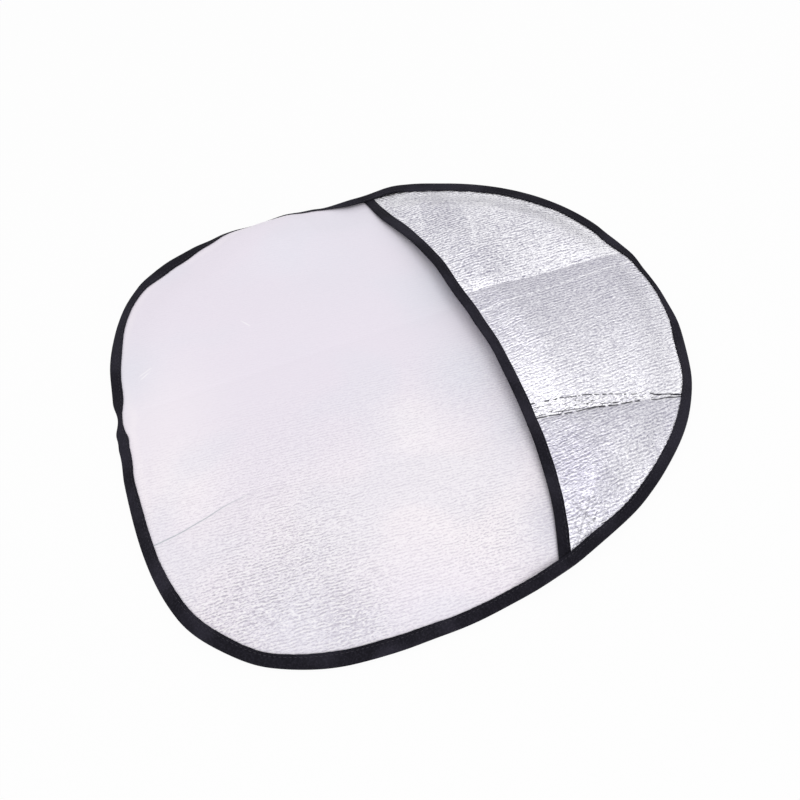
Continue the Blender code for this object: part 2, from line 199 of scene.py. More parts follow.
def outline(angle):
    """Outermost point of the edge at an angle about the middle, and its outward direction."""
    across, along = np.cos(angle), np.sin(angle)
    fullness = np.where(along >= 0, ROUND_END_FULLNESS, FLAT_END_FULLNESS)
    reach_along = np.where(along >= 0, ROUND_END_REACH, FLAT_END_REACH)
    share_across, share_along = abs(across) / HALF_WIDTH, abs(along) / reach_along
    reach = (share_across**fullness + share_along**fullness) ** (-1 / fullness)
    slope_across = (reach * share_across) ** (fullness - 1) / HALF_WIDTH
    slope_along = (reach * share_along) ** (fullness - 1) / reach_along
    outward = np.copysign(slope_across, across) + 1j * np.copysign(slope_along, along)
    outward = outward / abs(outward)
    waver = sum(out * window(angle, middle, half) for middle, half, out in OUTLINE_WAVERS)
    return MIDDLE + reach * (across + 1j * along) + outward * waver, outward


def tape_showing(angle):
    """Width of the edge tape on each face."""
    width = TAPE_SHOWING
    for middle, half, _, showing in ROLLED_STRETCHES:
        width = width + (showing - TAPE_SHOWING) * window(angle, middle, half)
    for middle, half, showing in ODD_STRETCHES:
        width = width + (showing - TAPE_SHOWING) * window(angle, middle, half)
    return width


def edge_profile(angle, inward):
    """Inset, fall and slope of the sheet at a distance along it from the edge."""
    steepest = LEAST_LEAN + sum(
        math.radians(lean) * window(angle, middle, half) for middle, half, lean, _ in ROLLED_STRETCHES
    )
    straight = tape_showing(angle) + SEW_GAP
    bend = EDGE_BAND - straight
    slope = steepest * np.minimum(1, (EDGE_BAND - inward) / bend)
    radius = bend / steepest
    under_tape = np.maximum(0, straight - inward)
    run = radius * np.sin(slope) + under_tape * np.cos(steepest)
    fall = radius * (1 - np.cos(slope)) + under_tape * np.sin(steepest)
    return EDGE_BAND - run, fall, slope


def roll_height(angle):
    """Height that a rolled edge needs so that its tape just rests on the floor."""
    return edge_profile(angle, 0.0)[1]


def fold_lines(y):
    """Where the two packing folds cross a line across the shade."""
    share = np.clip((y + SHADE_LENGTH / 2) / SHADE_LENGTH, 0, 1)
    near = NEAR_FOLD_PLACE + NEAR_FOLD_TURN * share**NEAR_FOLD_BEND_POWER
    middle, half_length, depth = NEAR_FOLD_DIP
    return FAR_FOLD_PLACE + FAR_FOLD_TURN * share, near - depth * bell(y - middle, half_length)


def seam_distance(place):
    """Distance in from the shade's outermost edge."""
    edge, outward = outline(np.angle(place - MIDDLE))
    return dot(edge - place, outward)


def half_width_at(y):
    """Half the shade's width on a line across it."""
    along = y - WIDEST_Y
    fullness = np.where(along >= 0, ROUND_END_FULLNESS, FLAT_END_FULLNESS)
    share = np.minimum(1, abs(along) / np.where(along >= 0, ROUND_END_REACH, FLAT_END_REACH))
    return HALF_WIDTH * (1 - share**fullness) ** (1 / fullness)


def arch_between(x, start, end):
    """An arch across the stretch between two lines, 1 at its middle."""
    gap = np.where(abs(end - start) < 1e-6, 1, end - start)
    share = (x - start) / gap
    return np.maximum(0, 4 * share * (1 - share))


def seam_fade(inward):
    """0 under the tape, 1 once clear of the sewn edge."""
    return smooth((inward - TAPE_SHOWING) / SWELL_FADE_RUN)


def panel_rise(place, inward):
    """Height of the main panel's underside above the floor."""
    far, near = fold_lines(place.imag)
    side = half_width_at(place.imag)
    far_rise = FAR_SWELL * arch_between(place.real, far, -side)
    near_rise = NEAR_SWELL * arch_between(place.real, near, side)
    return (far_rise + near_rise) * seam_fade(inward)


def foam_swell(distance):
    """0 where the sheet is pressed under a tape, 1 at its full thickness."""
    return smooth((distance - SEAM_WIDTH) / SWELL_RUN)


def panel_faces(inward, upper):
    """Height of the main panel's lower or upper face above its rise."""
    swell = foam_swell(inward)
    lower = TAPE_STEP * (1 - swell)
    top = (TAPE_STEP + SEAM_THICKNESS) * (1 - swell) + FOAM_THICKNESS * swell
    return np.where(upper, top, lower)


def edge_band_place(angle, inward, height):
    """Place and height of a point in the edge band, at a height square to the sheet's lowest face."""
    edge, outward = outline(angle)
    inset, fall, slope = edge_profile(angle, inward)
    place = edge - outward * (inset - height * np.sin(slope))
    return place, roll_height(angle) - fall + height * np.cos(slope)


def bumps(place, size, seed, height):
    """Smooth random bumps about a size across, up and down by about a height."""
    steps = place / size
    return height * np.array([noise.noise((x, y, seed)) for x, y in zip(steps.real, steps.imag)])


def wrinkle(place, start, end, width):
    """1 along the middle of a short wrinkle, falling to 0 beside it and towards its ends."""
    run = end - start
    along = dot(place - start, run) / abs(run) ** 2
    aside = ((place - start) * np.conj(run)).imag / abs(run)
    return bell(aside, width) * smooth(along / WRINKLE_FADE) * smooth((1 - along) / WRINKLE_FADE)


def panel_relief(place, inward):
    """Soft unevenness, creases and wrinkles of the main panel's film."""
    far, near = fold_lines(place.imag)
    wander = bumps(place, *CREASE_WANDER)
    deeper = 1 + rise(place.imag, *NEAR_CREASE_SINK)
    relief = sum(bumps(place, *layer) for layer in PANEL_BUMPS)
    relief -= PANEL_CREASE_DEPTH * bell(place.real - far + wander, PANEL_CREASE_WIDTH)
    relief -= PANEL_CREASE_DEPTH * deeper * bell(place.real - near + wander, PANEL_CREASE_WIDTH)
    for start, end, width, height in PANEL_WRINKLES:
        relief += height * wrinkle(place, start, end, width)
    for start, end in FINE_WRINKLES:
        relief += FINE_WRINKLE_HEIGHT * wrinkle(place, start, end, FINE_WRINKLE_WIDTH)
    return relief * smooth((inward - SEAM_WIDTH) / RELIEF_RUN)


def ring_place(column, row):
    """Angle of a point of the square grid, spaced evenly round its ring, and the ring's number."""
    across = abs(column) >= abs(row)
    lead = np.where(across, column, row)
    ratio = np.where(across, row, column) / np.where(lead == 0, 1, lead)
    turn = np.where(across, math.pi / 4 * ratio, math.pi / 2 - math.pi / 4 * ratio)
    return turn + np.where(lead < 0, math.pi, 0), abs(lead)


def panel_points(column, row, upper):
    """Points of the main panel's lower and upper faces."""
    angle, ring = ring_place(column - PANEL_RINGS, row - PANEL_RINGS)
    steps_in = PANEL_RINGS - ring
    inward = SHEET_SETBACK + (EDGE_BAND - SHEET_SETBACK) * steps_in / PANEL_EDGE_RINGS
    banded, band_height = edge_band_place(angle, inward, panel_faces(inward, upper))
    rim_highlight, _ = edge_band_place(angle, EDGE_BAND, 0.0)
    inner = MIDDLE + (rim_highlight - MIDDLE) * ring / (PANEL_RINGS - PANEL_EDGE_RINGS)
    in_band = steps_in <= PANEL_EDGE_RINGS
    place = np.where(in_band, banded, inner)
    inward = np.where(in_band, inward, seam_distance(inner))
    hump = roll_height(angle) * (1 - smooth((inward - EDGE_BAND) / ROLL_HUMP_REACH))
    height = np.where(in_band, band_height, panel_faces(inward, upper) + hump)
    height = height + panel_rise(place, inward) + np.where(upper, panel_relief(place, inward), 0)
    return place, height


def step_grid(columns, rows):
    """A flat grid whose points lie at whole numbers: x is the column and y the row, from 0."""
    shape = bmesh.new()
    bmesh.ops.create_grid(shape, x_segments=columns, y_segments=rows, size=0.5)
    bmesh.ops.translate(shape, verts=shape.verts[:], vec=(0.5, 0.5, 0))
    bmesh.ops.scale(shape, verts=shape.verts[:], vec=(columns, rows, 1))
    return shape


def put_in_place(shape, points):
    """Move every point of a grid from its column, row and layer to its place."""
    steps = np.array([vert.co for vert in shape.verts]).round()
    place, height = points(*steps.T)
    for vert, x, y, z in zip(shape.verts, place.real + CENTRING, place.imag, height):
        vert.co = (x, y, z)


def sheet_shape(columns, rows, points, marks):
    """A closed sheet of foam: a grid and its copy above it. Faces of the lower film get slot 1.

    Each mark is a number kept at every point, which the finishes read by its name.
    """
    shape = step_grid(columns, rows)
    lower = shape.faces[:]
    copied = bmesh.ops.extrude_face_region(shape, geom=lower)["geom"]
    raised = [item for item in copied if isinstance(item, bmesh.types.BMVert)]
    bmesh.ops.translate(shape, verts=raised, vec=(0, 0, 1))
    for face in shape.faces:
        face.material_index = int(face.calc_center_median().z < 0.25)
    put_in_place(shape, points)
    place = np.array([complex(vert.co.x - CENTRING, vert.co.y) for vert in shape.verts])
    for name, values in marks(place).items():
        layer = shape.verts.layers.float.new(name)
        for vert, value in zip(shape.verts, values):
            vert[layer] = value
    return shape


def add_mesh(name, shape, materials):
    """Put a finished shape in the scene."""
    mesh = bpy.data.meshes.new(name)
    shape.to_mesh(mesh)
    shape.free()
    for material in materials:
        mesh.materials.append(material)
    return add_object(name, mesh)


def make_piece(name, shape, finishes, node):
    """Turn a finished shape into a piece of the shade. Some pieces stand for a CAD node."""
    bmesh.ops.recalc_face_normals(shape, faces=shape.faces[:])
    piece = add_mesh(name, shape, [finish.material for finish in finishes])
    piece.data.shade_smooth()
    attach(piece, "root")
    if node:
        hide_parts(node)
    return piece


class Signal:
    """What leaves a socket of a node. Maths on it adds the Math nodes."""

    def __init__(self, nodes, socket):
        self.nodes = nodes
        self.socket = socket

    def maths(self, operation, *others):
        inputs = dict(enumerate((self, *others)))
        return self.nodes.add("ShaderNodeMath", {"operation": operation}, inputs)

    def __add__(self, other):
        return self.maths("ADD", other)

    def __sub__(self, other):
        return self.maths("SUBTRACT", other)

    def __mul__(self, other):
        return self.maths("MULTIPLY", other)

    def __pow__(self, other):
        return self.maths("POWER", other)

    def __rsub__(self, other):
        return self.maths("MULTIPLY_ADD", -1, other)

    __radd__ = __add__
    __rmul__ = __mul__

    def ramp(self, low, high):
        """0 below low and 1 above high, with a smooth rise."""
        limits = {"Value": self, "From Min": low, "From Max": high}
        return self.nodes.add("ShaderNodeMapRange", {"interpolation_type": "SMOOTHSTEP"}, limits)

    def bell(self, half_width):
        """1 where the signal is zero, falling off over a half width to each side."""
        near = self * (1 / half_width)
        return (near * near * -1).maths("EXPONENT")


class NodeTree:
    """The nodes of a material or of the world, and the shader that they came with."""

    def __init__(self, owner, shader):
        owner.use_nodes = True
        self.tree = owner.node_tree
        self.shader = self.tree.nodes[shader]

    def connect(self, socket, value):
        """Give a socket its constant, or the signal that feeds it."""
        if isinstance(value, Signal):
            self.tree.links.new(value.socket, socket)
        else:
            socket.default_value = value

    def set(self, values):
        """Constants and signals of the shader's own sockets."""
        for name, value in values.items():
            self.connect(self.shader.inputs[name], value)

    def add(self, kind, settings, inputs, output=0):
        """A node of a kind, as the signal that leaves it."""
        node = self.tree.nodes.new(kind)
        for setting, value in settings.items():
            setattr(node, setting, value)
        for name, value in inputs.items():
            self.connect(node.inputs[name], value)
        return Signal(self, node.outputs[output])


class Finish(NodeTree):
    """A material of the shade, with the places that its nodes start from."""

    def __init__(self, name, constants):
        self.material = bpy.data.materials.new(name)
        super().__init__(self.material, "Principled BSDF")
        self.set(constants)
        self.place = self.add("ShaderNodeTexCoord", {}, {}, "Object")
        self.x = self.add("ShaderNodeSeparateXYZ", {}, {0: self.place}, "X") - CENTRING
        self.y = self.add("ShaderNodeSeparateXYZ", {}, {0: self.place}, "Y")

    def mix(self, share, first, second):
        """A blend of two colours."""
        return self.add("ShaderNodeMix", {"data_type": "RGBA"}, {0: share, 6: first, 7: second}, 2)

    def mark(self, name):
        """A number that the mesh keeps at its points."""
        return self.add("ShaderNodeAttribute", {"attribute_name": name}, {}, "Fac")

    def grain(self, across, along, detail=0.0, turn=0.0, distortion=0.0, shift=0.0):
        """Random signal round 0.5, with so many cells to the metre across and along."""
        turned = self.add("ShaderNodeMapping", {}, {"Vector": self.place, "Rotation": (0, 0, turn)})
        stretch = {"Vector": turned, "Scale": (across, along, across), "Location": (shift, shift, 0)}
        stretched = self.add("ShaderNodeMapping", {}, stretch)
        settings = {"Vector": stretched, "Scale": 1.0, "Detail": detail, "Distortion": distortion}
        return self.add("ShaderNodeTexNoise", {}, settings)

    def strokes(self, spacing, length, turn=0.0, shift=0.0):
        """Fine wavy strokes side by side, as a signal round 0.5: drawn-out grain, and waves in places."""
        fine = self.grain(3 / spacing, 3 / length, 1.2, turn, 0.4, shift)
        waver = self.grain(0.4 / spacing, 0.7 / length, 1.0, turn, 0.0, shift + 5)
        fading = self.grain(1 / spacing, 1 / length, 0.0, turn, 0.0, shift + 9)
        across = self.x * (math.cos(turn) / spacing) - self.y * (math.sin(turn) / spacing)
        wave = ((across + waver * STROKE_WAVER) * (2 * math.pi)).maths("SINE")
        return fine * 0.8 + wave * fading.ramp(0.35, 0.60) * 0.14 + 0.1

    def bump(self, height, distance, below=None):
        """A surface direction tilted by a height signal."""
        inputs = {"Height": height, "Distance": distance}
        if below:
            inputs["Normal"] = below
        return self.add("ShaderNodeBump", {}, inputs)

    def crest(self, start, end, half_width):
        """1 along the crest of a short wrinkle, falling to 0 beside it and towards its ends."""
        length = abs(end - start)
        unit = (end - start) / length
        origin = start * unit.conjugate()
        along = self.x * unit.real + self.y * unit.imag - origin.real
        aside = self.y * unit.real - self.x * unit.imag - origin.imag
        fade = length / 3
        return aside.bell(half_width) * along.ramp(0, fade) * (1 - along.ramp(length - fade, length))

    def fold_distances(self):
        """Distances across the shade from its two packing folds."""
        share = (self.y + SHADE_LENGTH / 2) * (1 / SHADE_LENGTH)
        far = self.x - share * FAR_FOLD_TURN - FAR_FOLD_PLACE
        near = self.x - share**NEAR_FOLD_BEND_POWER * NEAR_FOLD_TURN - NEAR_FOLD_PLACE
        middle, half_length, depth = NEAR_FOLD_DIP
        return far, near + (self.y - middle).bell(half_length) * depth


def screen_colour(red, green, blue):
    """Linear colour of a screen colour given from 0 to 255."""
    linear = [((part / 255 + 0.055) / 1.055) ** 2.4 for part in (red, green, blue)]
    return (*linear, 1.0)


STROKE_WAVER = 1.3  # of a spacing
PEARL_STROKES = (0.0022, 0.0062)  # spacing, length
FOIL_STROKES = (0.0027, 0.0070)
FINE_LINE = 0.0005  # half width of the thinnest lines drawn on the film and the foil
PEARL_LAVENDER = screen_colour(238, 231, 242)
PEARL_PALE = screen_colour(252, 245, 250)
PEARL_BLUE = screen_colour(231, 231, 241)
# painted shade: the shaded sides of the ripples, and shaded patches
PEARL_RIPPLE_SHADE = screen_colour(194, 187, 201)
# painted highlight on ripple crests and wrinkle crests
PEARL_GLINT = screen_colour(255, 252, 255)
# painted shade along the near crease
PEARL_CREASE_SHADE = screen_colour(176, 184, 190)
# the foil's painted lightness runs from painted shade to painted highlight, standing for its reflections
FOIL_PAINTED_SHADE = screen_colour(146, 143, 161)
FOIL_PAINTED_HIGHLIGHT = screen_colour(252, 251, 255)
# painted shade in the foil's crease lines and crumples
FOIL_CREASE_SHADE = screen_colour(42, 42, 48)
PEARL_RIPPLED_SPOTS = (  # middle, half width, how much
    (0.122 - 0.138j, 0.050, 0.60), (0.140 - 0.192j, 0.030, 0.60), (0.172 - 0.112j, 0.025, 0.45),
    (0.160 + 0j, 0.040, 0.35),
)
PEARL_PALE_SPOTS = (
    (0.115 - 0.013j, 0.065, 1.00), (-0.030 - 0.205j, 0.050, 0.45), (0.112 - 0.114j, 0.055, 0.85),
    (0.104 - 0.204j, 0.040, 0.50), (0.150 + 0.010j, 0.040, 0.50), (0.034 - 0.200j, 0.032, 0.80),
    (0.050 - 0.022j, 0.024, 0.65),
)
# bluish patches of the film; those by the mouth paint the shade under the raised pocket bluish
PEARL_BLUISH_AND_SHADE_SPOTS = (
    (0.028 + 0.040j, 0.034, 0.80), (-0.060 + 0.060j, 0.040, 0.70), (0.168 + 0.040j, 0.024, 0.70),
    (0.160 - 0.145j, 0.045, 0.55), (-0.130 - 0.020j, 0.050, 0.35), (0.092 + 0.050j, 0.024, 0.50),
    (-0.080 - 0.222j, 0.030, 0.60),
)
# painted shade: a patch on the shaded side of a cross crease, and a spot beside the mouth tape
PEARL_SHADE_PATCH = (0.166 - 0.118j, 0.018, 0.7)
PEARL_SHADE_PATCH_EDGE = (-0.100, -0.003, 1)  # from where, over what run, how much
PEARL_MOUTH_SHADE_SPOT = (0.164 + 0.046j, 0.018, 1.3)
PEARL_LEAST_RIPPLE = 0.06
PEARL_NEAR_RIPPLE = (-0.03, 0.08, 0.30)
# painted highlight where the film rolls off towards the edge tape
RIM_HIGHLIGHT_INSET = 0.0125
RIM_HIGHLIGHT_WIDTH = 0.003
RIM_HIGHLIGHT_RISE = (-0.06, -0.05, 0.3)
FAR_FOLD_SHADE_LINE = 0.0022  # painted shade line just before the far fold
FAR_FOLD_HIGHLIGHT_LINE = (0.026, 0.057)  # painted highlight line past the far fold: how far, how fast it nears the fold
STRIP_WIDTH = 0.0125  # of the crumpled strip before the near fold, by the pocket's mouth
STRIP_NARROWING = 0.0115
STRIP_NARROWS = (0.09, 0.21)  # from where along the shade to where
UNDERSIDE_TONE = 0.55
UNDERSIDE_BLOTCHES = (0.04, 9.0, 0.10)
# how strongly painted crease shade shows on the underside foil
UNDERSIDE_CREASE_SHADE = 0.2


def spot(place, middle, half_width, amount):
    """An amount at the middle of a soft round spot."""
    return amount * bell(abs(place - middle), half_width)


def spots(place, table):
    """Soft round spots, as a share from 0 to 1."""
    return np.clip(sum(spot(place, *row) for row in table), 0, 1)


def panel_marks(place):
    """Where the pearly film is rippled, paler or bluish, where shade and a rim highlight are painted on
    it, and how light the foil below is.
    """
    none = 0 * place.real
    ripple = PEARL_LEAST_RIPPLE + rise(place.real, *PEARL_NEAR_RIPPLE)
    ripple += spots(place, PEARL_RIPPLED_SPOTS)
    # painted highlight along the rolled-off rim, added to the paler patches
    rim_highlight = bell(seam_distance(place) - RIM_HIGHLIGHT_INSET, RIM_HIGHLIGHT_WIDTH) * rise(place.imag, *RIM_HIGHLIGHT_RISE)
    patch = spot(place, *PEARL_SHADE_PATCH) * rise(place.imag, *PEARL_SHADE_PATCH_EDGE)
    return {
        "ripple": np.clip(ripple, 0, 1),
        "pale": np.clip(spots(place, PEARL_PALE_SPOTS) + rim_highlight, 0, 1),
        "cool": spots(place, PEARL_BLUISH_AND_SHADE_SPOTS),
        "dull": patch + spot(place, *PEARL_MOUTH_SHADE_SPOT),
        "tone": UNDERSIDE_TONE + bumps(place, *UNDERSIDE_BLOTCHES),
        "far_tone": none + UNDERSIDE_TONE,
        "creased": none,
        "cracked": none + UNDERSIDE_CREASE_SHADE,
    }


def pearly_film():
    """White film with a satin sheen, embossed with fine ripples along the shade, with painted shade and
    highlight on the ripples, a painted shade line on the near crease and a painted highlight on wrinkle
    crests.
    """
    finish = Finish("pearly_film", {"Roughness": 0.42, "Specular IOR Level": 0.35})
    far, near = finish.fold_distances()
    rippled = finish.mark("ripple")
    strokes = finish.strokes(*PEARL_STROKES, turn=math.radians(8))
    patches = finish.grain(14, 11, detail=1.0)
    tint = finish.mix(finish.mark("pale"), PEARL_LAVENDER, PEARL_PALE)
    tint = finish.mix(patches.ramp(0.48, 0.66) * 0.35, tint, PEARL_BLUE)
    # bluish patches; by the mouth they tint the painted shade there
    tint = finish.mix(finish.mark("cool"), tint, PEARL_BLUE)
    # painted shade: the shaded side of a cross crease, and beside the mouth tape
    tint = finish.mix(finish.mark("dull") * 0.3, tint, PEARL_RIPPLE_SHADE)
    # painted shade and painted highlight on the two sides of the ripples
    tint = finish.mix((1 - strokes.ramp(0.30, 0.54)) * rippled * 0.9, tint, PEARL_RIPPLE_SHADE)
    tint = finish.mix(strokes.ramp(0.50, 0.66) * rippled, tint, PEARL_GLINT)
    # painted shade along the near crease, towards the flat end
    ragged = near + (finish.grain(30, 30, detail=1.0) - 0.5) * 0.003
    towards_flat_end = 1 - finish.y.ramp(-0.19, -0.14)
    tint = finish.mix(ragged.bell(FINE_LINE) * towards_flat_end * 0.8, tint, PEARL_CREASE_SHADE)
    # painted highlight on the crests of the fine wrinkles
    crests = sum(finish.crest(start, end, FINE_LINE) for start, end in FINE_WRINKLES)
    tint = finish.mix(crests * 0.7, tint, PEARL_GLINT)
    finish.set({"Base Color": tint, "Normal": finish.bump(strokes * rippled, 0.0009)})
    return finish


def foil_painted_light(finish, far, crinkle, ridges, broken):
    """How light the foil is painted, standing in for its reflections: painted shade and highlight on its
    ridges. It changes at the far fold, beside which lie two lines, one of painted shade and one of
    painted highlight.
    """
    past_fold = far + (crinkle - 0.5) * 0.002
    before_fold = 1 - past_fold.ramp(-FINE_LINE, FINE_LINE)
    lasting = finish.mark("tone")
    tone = lasting + (finish.mark("far_tone") - lasting) * before_fold
    tone -= (past_fold + FAR_FOLD_SHADE_LINE).bell(FINE_LINE) * 0.30
    contrast = tone * 0.85 + 0.40 + before_fold * 0.35
    highlight_place, highlight_turn = FAR_FOLD_HIGHLIGHT_LINE
    highlight_line = (past_fold + finish.y * highlight_turn - highlight_place).bell(FINE_LINE)
    return tone + (ridges.ramp(0.20, 0.80) - 0.5) * contrast + highlight_line * broken.ramp(0.40, 0.50) * 0.6


def foil_crease_shade(finish, near, specks, broken):
    """Painted shade in dark lines and specks: along the near fold, beside it, and all over the crumpled
    strip.
    """
    fine_lines = finish.grain(460, 75, detail=1.5, shift=3.0) - 0.5
    ragged = near + (finish.grain(110, 45, detail=2.0) - 0.5) * 0.004
    strip_edge = ragged + STRIP_WIDTH - finish.y.ramp(*STRIP_NARROWS) * STRIP_NARROWING
    shade_lines = ragged.bell(0.0007) * broken.ramp(0.38, 0.44)
    shade_lines += (ragged + 0.002).bell(0.0004) * fine_lines.ramp(0.0, 0.04)
    shade_lines += strip_edge.bell(FINE_LINE) * broken.ramp(0.44, 0.48)
    shaded_specks = (1 - specks.ramp(0.33, 0.40)) * 0.7 + fine_lines.bell(0.022) * broken.ramp(0.45, 0.50) * 0.8
    return shade_lines * finish.mark("cracked") + finish.mark("creased") * shaded_specks


def bright_foil():
    """Aluminium film, crinkled into short wavy ridges along the shade, its colour painted lighter and
    darker for its reflections and shade.
    """
    finish = Finish("bright_foil", {"Metallic": 1.0, "Roughness": 0.32})
    far, near = finish.fold_distances()
    ridges = finish.strokes(*FOIL_STROKES, shift=2.0)
    specks = finish.grain(1200, 260, detail=1.0, shift=7.0)
    crinkle = finish.grain(90, 60, detail=1.0, shift=3.0)
    broken = finish.grain(40, 230, detail=1.0, shift=11.0)
    # painted lightness between painted shade and painted highlight stands for the foil's reflections
    tint = finish.mix(foil_painted_light(finish, far, crinkle, ridges, broken), FOIL_PAINTED_SHADE, FOIL_PAINTED_HIGHLIGHT)
    # painted shade in dark lines and specks at the folds and crumples
    tint = finish.mix(foil_crease_shade(finish, near, specks, broken), tint, FOIL_CREASE_SHADE)
    soft = finish.bump(crinkle, 0.0007)
    finish.set({"Base Color": tint, "Normal": finish.bump(ridges + specks * 0.3, 0.0007, soft)})
    return finish


pearl, foil = pearly_film(), bright_foil()

panel_shape = sheet_shape(2 * PANEL_RINGS, 2 * PANEL_RINGS, panel_points, panel_marks)
main_panel = make_piece("main_panel_film", panel_shape, (pearl, foil), "main_panel")


# Pocket panel
#
# A crescent of the same laminate over the round end, foil face up and pearly face down. It hooks over
# the top of the wheel. Sewn along its round edge only, it stands open at its concave mouth.

POCKET_LENGTH = 0.1775
MOUTH_SAG_FAR = 0.0365  # how far the mouth curves back on each side
MOUTH_SAG_NEAR = 0.0305
MOUTH_SAG_HALF_WIDTH = 0.188
MOUTH_SAG_POWER = 2.4
MOUTH_WAVERS = (  # middle and half length across the shade, how far into the pocket
    (-0.095, 0.085, -0.0016), (0.120, 0.130, 0.0029), (-0.045, 0.035, -0.0018), (0.018, 0.030, 0.0012),
    (0.165, 0.045, 0.0010), (-0.190, 0.042, 0.0062), (-0.150, 0.046, -0.0022), (0.030, 0.038, 0.0007),
)
MOUTH_LIFT = 0.012  # how high the mouth stands open
MOUTH_LIFT_SKEW = 0.25  # share by which the far side stands higher
LIFT_REACH = 0.095
DOME_RUN = 0.150
POCKET_SWELL = 0.0035
POCKET_SWELL_RUN = 0.050
POCKET_TIP_WIDTH = 0.004
POCKET_CREASE_WIDTH = 0.0022
POCKET_CREASE_DEPTH = 0.0007
POCKET_CREASE_WANDER = (0.010, 5.0, 0.0010)
POCKET_BUMPS = ((0.040, 6.0, 0.0005), (0.009, 7.0, 0.00015))
CRUMPLES = (0.0045, 8.0, 0.0002)
CRUMPLED_WIDTH = (0.200, -0.11, 0.013)  # from where, over what run, how wide
CRUMPLED_START_RUN = 0.009
CRUMPLED_END_RUN = 0.0015
POCKET_WRINKLES = (  # start, end, width, height
    (0.154 + 0.060j, 0.190 + 0.078j, 0.0013, -0.0006),
    (0.164 + 0.074j, 0.188 + 0.050j, 0.0012, -0.0005),
    (0.172 + 0.084j, 0.186 + 0.064j, 0.0011, 0.0004),
    (-0.165 + 0.112j, -0.150 + 0.062j, 0.0040, 0.0006),
    (-0.128 + 0.118j, -0.070 + 0.080j, 0.0040, 0.0006),
    (-0.016 + 0.112j, -0.010 + 0.215j, 0.0012, 0.0002),
    (-0.010 + 0.120j, -0.004 + 0.170j, 0.0012, 0.0002),
)
FOIL_HIGHLIGHT_STREAKS = (  # start, end, width of painted highlight along the folds of the far tip
    (-0.172 + 0.078j, -0.112 + 0.064j, 0.0035),
    (-0.132 + 0.118j, -0.065 + 0.096j, 0.0030),
    (-0.068 + 0.098j, -0.018 + 0.072j, 0.0030),
    (-0.150 + 0.060j, -0.190 + 0.062j, 0.0120),
    (-0.058 + 0.120j, -0.046 + 0.215j, 0.0016),
    (-0.050 + 0.115j, -0.037 + 0.218j, 0.0014),
)
# the wrinkled corner by the mouth, where dark specks of painted shade lie, as in the crumpled strip
WRINKLED_CORNER = (0.172 + 0.067j, 0.016, 0.8)
# Painted lightness of the pocket's foil, standing in for its reflections: the zones between the folds,
# their margins, the wedge, patches, spots and crumpled strip are painted lighter or darker.
FAR_TONE = 0.53  # of the foil before the far fold: 0 is dark and 1 light
FAR_TONE_RISE = (-0.11, 0.08, 0.13)  # distance from the far fold, run, amount
FAR_WEDGE_LEAST = 0.006  # width of a painted highlight wedge before the fold
FAR_WEDGE_RISE = (0.10, 0.11, 0.010)
FAR_WEDGE_TONE = (0.006, 0.12)
FAR_PATCH_MIDDLE = -0.118 + 0.088j
FAR_PATCH = (0.042, -0.030, -0.09)  # distance from its middle, run, amount
FAR_TONE_SPOTS = ((-0.064 + 0.096j, 0.024, -0.22), (-0.136 + 0.138j, 0.028, 0.20))
FAR_STREAK_HIGHLIGHT = 0.18
FAR_MARGIN_RISES = ((0.020, -0.020, 0.12), (0.035, -0.035, 0.18))  # distance in, run, amount
MIDDLE_TONE = 0.42
MIDDLE_TONE_RISE = (0.0, 0.15, 0.27)
MIDDLE_MARGIN_RISE = (0.020, -0.020, 0.09)
NEAR_TONE = 0.47
NEAR_TONE_RISE = (0.008, 0.030, 0.04)
NEAR_TONE_SPOTS = ((0.136 + 0.074j, 0.030, -0.24), (0.153 + 0.118j, 0.024, 0.12))
CRUMPLED_TONE = 0.04
POCKET_LINING_RIPPLE = 0.4
POCKET_MARGIN = SEAM_WIDTH + SWELL_RUN
POCKET_MARGIN_ROWS = 18
POCKET_MIDDLE_ROWS = 56
POCKET_ROWS = 2 * POCKET_MARGIN_ROWS + POCKET_MIDDLE_ROWS
POCKET_STATIONS = 340
MOUTH_Y = SHADE_LENGTH / 2 - POCKET_LENGTH


def mouth_line(x):
    """Front fold of the mouth tape at a distance across, and its direction into the pocket."""
    share = abs(x) / MOUTH_SAG_HALF_WIDTH
    sag = np.where(x > 0, MOUTH_SAG_NEAR, MOUTH_SAG_FAR)
    slope = -np.sign(x) * sag * MOUTH_SAG_POWER / MOUTH_SAG_HALF_WIDTH * share ** (MOUTH_SAG_POWER - 1)
    into = -slope + 1j
    waver = sum(out * smooth(1 - abs(x - middle) / half) for middle, half, out in MOUTH_WAVERS)
    return x + 1j * (MOUTH_Y - sag * share**MOUTH_SAG_POWER + waver), into / abs(into)


def mouth_distance(place):
    """Distance into the pocket from the front fold of the mouth tape."""
    line, into = mouth_line(place.real)
    return (place.imag - line.imag) * into.imag


def pocket_rise(place, inward):
    """Height of the pocket's lower face above the main panel's upper face."""
    depth = np.maximum(0, mouth_distance(place))
    room_for_tape = TAPE_STEP * (1 - smooth((depth - SEAM_WIDTH) / EDGE_BAND))
    dome = smooth((inward - TAPE_SHOWING) / DOME_RUN)
    skew = 1 - MOUTH_LIFT_SKEW * place.real / HALF_WIDTH
    lift = MOUTH_LIFT * skew * dome / (1 + (depth / LIFT_REACH) ** 2)
    far, near = fold_lines(place.imag)
    side = half_width_at(place.imag)
    swell = sum(arch_between(place.real, *ends) for ends in ((far, -side), (far, near), (near, side)))
    swell = swell * POCKET_SWELL * seam_fade(inward) * smooth(depth / POCKET_SWELL_RUN)
    return SEW_GAP + room_for_tape + lift + swell


def crumpled_strip(place):
    """1 in the strip of crumpled foil before the near fold, which narrows to the round end."""
    _, near = fold_lines(place.imag)
    start = -rise(place.imag, *CRUMPLED_WIDTH) - CRUMPLED_START_RUN / 2
    offset = place.real - near
    return rise(offset, start, CRUMPLED_START_RUN, 1) * rise(offset, 0, -CRUMPLED_END_RUN, 1)


